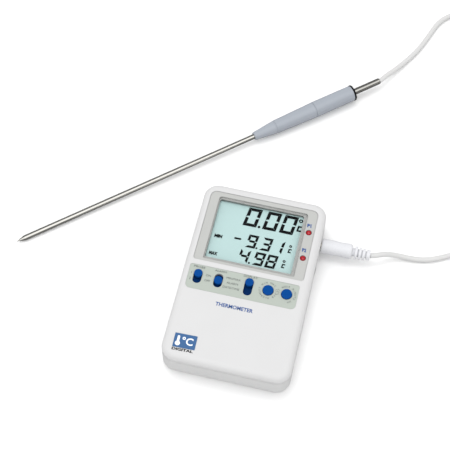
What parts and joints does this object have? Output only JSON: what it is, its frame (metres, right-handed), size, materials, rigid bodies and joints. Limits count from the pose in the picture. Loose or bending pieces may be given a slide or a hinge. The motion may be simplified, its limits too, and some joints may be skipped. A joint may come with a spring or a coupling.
{
  "type": "darkroom thermometer",
  "caption": "Flat digital thermometer: recessed display, slide switches, buttons, jacks, back stand and battery cover, with a needle probe on a coiled plug-in cord.",
  "frame": {"origin": "centre of the display unit's back face, which lies on the table", "axes": "+X to the side with the jacks, +Y to the end with the display, +Z out of the face"},
  "size_m": [0.2841, 0.2799, 0.0196],
  "materials": {
    "front_shell": "satin",
    "rear_shell": "satin",
    "surround": "satin",
    "window": "clear, gloss",
    "display_frame": "matte",
    "display_glass": "gloss",
    "polariser": "satin",
    "segments": "matte",
    "reflector": "satin",
    "elastomer": "matte",
    "label": "satin",
    "badge": "gloss",
    "board": "satin",
    "black_resin": "satin",
    "tinned_steel": "satin",
    "lamp": "gloss",
    "jack": "satin",
    "control": "gloss",
    "lever": "satin",
    "cell": "satin",
    "contact": "polished",
    "screw": "satin",
    "plug": "satin",
    "cord": "satin",
    "tie": "satin",
    "handle": "satin",
    "ring": "matte",
    "needle": "satin"
  },
  "bodies": {
    "meter": {"front_case": "front_shell", "rear_case": "rear_shell", "display_surround": "surround", "display_window": "window", "display_holder": "display_frame", "display_glass": "display_glass", "display_polariser": "polariser", "display_segments": "segments", "display_reflector": "reflector", "upper_contact_strip": "elastomer", "lower_contact_strip": "elastomer", "control_label": "label", "badge": "badge", "main_board": "board", "controller_chip": "black_resin", "clock_crystal": "tinned_steel", "buzzer": "black_resin", "channel_1_lamp": "lamp", "channel_2_lamp": "lamp", "channel_1_jack": "jack", "channel_2_jack": "jack", "probe_switch_body": "tinned_steel", "alarm_switch_body": "tinned_steel", "display_switch_body": "tinned_steel", "left_push_switch": "black_resin", "right_push_switch": "black_resin", "battery_1": "cell", "battery_2": "cell", "battery_springs": "contact", "battery_contacts": "contact", "case_screws": "screw", "board_screws": "screw"},
    "probe_lead": {"plug_barrel": "plug", "plug_strain_relief": "plug", "plug_sleeve": "contact", "plug_insulator": "black_resin", "plug_tip": "contact", "cord_plug_side": "cord", "cord_coil": "cord", "cord_tie": "tie", "cord_probe_side": "cord", "rear_tube": "needle", "probe_handle": "handle", "handle_ring": "ring", "needle_sheath": "needle", "sensor_element": "black_resin"},
    "probe_switch": {"probe_switch_knob": "control", "probe_switch_lever": "lever"},
    "alarm_switch": {"alarm_switch_knob": "control", "alarm_switch_lever": "lever"},
    "display_switch": {"display_switch_knob": "control", "display_switch_lever": "lever"},
    "button_left": {"left_button": "control", "left_plunger": "lever"},
    "button_right": {"right_button": "control", "right_plunger": "lever"},
    "back_stand": {"stand": "rear_shell"},
    "battery_door": {"battery_cover": "rear_shell"}
  },
  "joints": [
    {"name": "plug_pull", "type": "slide", "parent": "meter", "child": "probe_lead", "axis": [1, 0, 0], "range_m": [0, 0.02]},
    {"name": "probe_switch_slide", "type": "slide", "parent": "meter", "child": "probe_switch", "axis": [0, -1, 0], "range_m": [0, 0.0035]},
    {"name": "alarm_switch_slide", "type": "slide", "parent": "meter", "child": "alarm_switch", "axis": [0, -1, 0], "range_m": [-0.00175, 0.00175]},
    {"name": "display_switch_slide", "type": "slide", "parent": "meter", "child": "display_switch", "axis": [0, -1, 0], "range_m": [0, 0.0055]},
    {"name": "left_button_press", "type": "slide", "parent": "meter", "child": "button_left", "axis": [0, 0, -1], "range_m": [0, 0.0007], "stiffness_N_per_m": 800, "springref_m": -0.0005},
    {"name": "right_button_press", "type": "slide", "parent": "meter", "child": "button_right", "axis": [0, 0, -1], "range_m": [0, 0.0007], "stiffness_N_per_m": 800, "springref_m": -0.0005},
    {"name": "stand_fold", "type": "hinge", "parent": "meter", "child": "back_stand", "pos_m": [0, 0.0413, 0.0017], "axis": [1, 0, 0], "range_deg": [0, 75]},
    {"name": "battery_cover_slide", "type": "slide", "parent": "meter", "child": "battery_door", "axis": [0, -1, 0], "range_m": [0, 0.034]}
  ]
}
